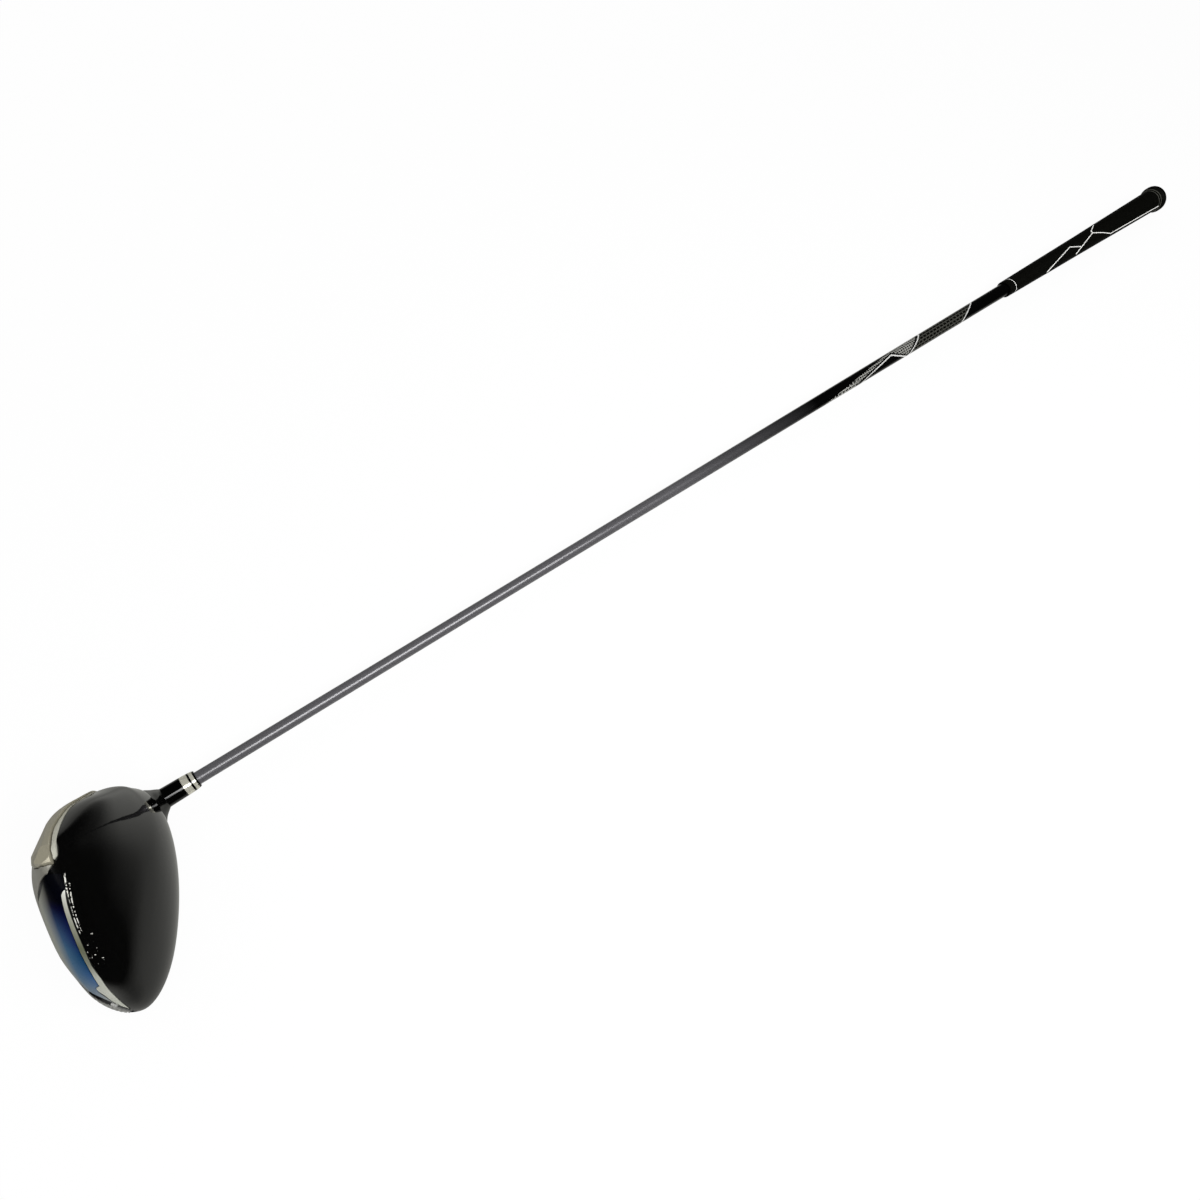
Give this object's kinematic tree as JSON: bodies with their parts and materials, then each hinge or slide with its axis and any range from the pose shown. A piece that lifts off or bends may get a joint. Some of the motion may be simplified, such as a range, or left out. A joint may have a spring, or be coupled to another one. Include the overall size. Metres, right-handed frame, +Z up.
{
  "type": "golf driver",
  "caption": "Right-handed golf driver lying face down: hollow head with black crown, coloured skirt panels, short hosel, ferrule, tapered shaft and slip-on grip.",
  "frame": {"origin": "on the floor, under the middle of the club's box as it lies face down", "axes": "+X along the shaft from the head to the butt, +Z up from the floor towards the back of the head, -Y towards the toe and crown"},
  "size_m": [1.1912, 0.1208, 0.1206],
  "materials": {
    "crown_paint": "gloss",
    "body_paint": "satin",
    "face_titanium": "satin",
    "champagne": "satin",
    "light_trim": "satin",
    "blue_metal": "gloss",
    "sole_metal": "satin",
    "strip_metal": "satin",
    "weight_steel": "satin",
    "ferrule_black": "gloss",
    "ferrule_silver": "polished",
    "graphite": "gloss",
    "plug_plastic": "matte",
    "tape": "matte",
    "grip_rubber": "matte"
  },
  "bodies": {
    "root": {"crown": "crown_paint", "head_body": "body_paint", "face_insert": "face_titanium", "heel_cover": "champagne", "heel_strip": "light_trim", "skirt_panel": "blue_metal", "skirt_trim": "light_trim", "sole_plate": "sole_metal", "toe_strip": "strip_metal", "sole_weight": "weight_steel", "ferrule_body": "ferrule_black", "ferrule_ring_wide": "ferrule_silver", "ferrule_ring_dark": "ferrule_black", "ferrule_ring_narrow": "ferrule_silver", "ferrule_ring_top": "ferrule_black", "shaft": "graphite", "tip_plug": "plug_plastic", "grip_tape": "tape", "grip_sleeve": "grip_rubber", "grip_cap": "grip_rubber"}
  },
  "joints": []
}
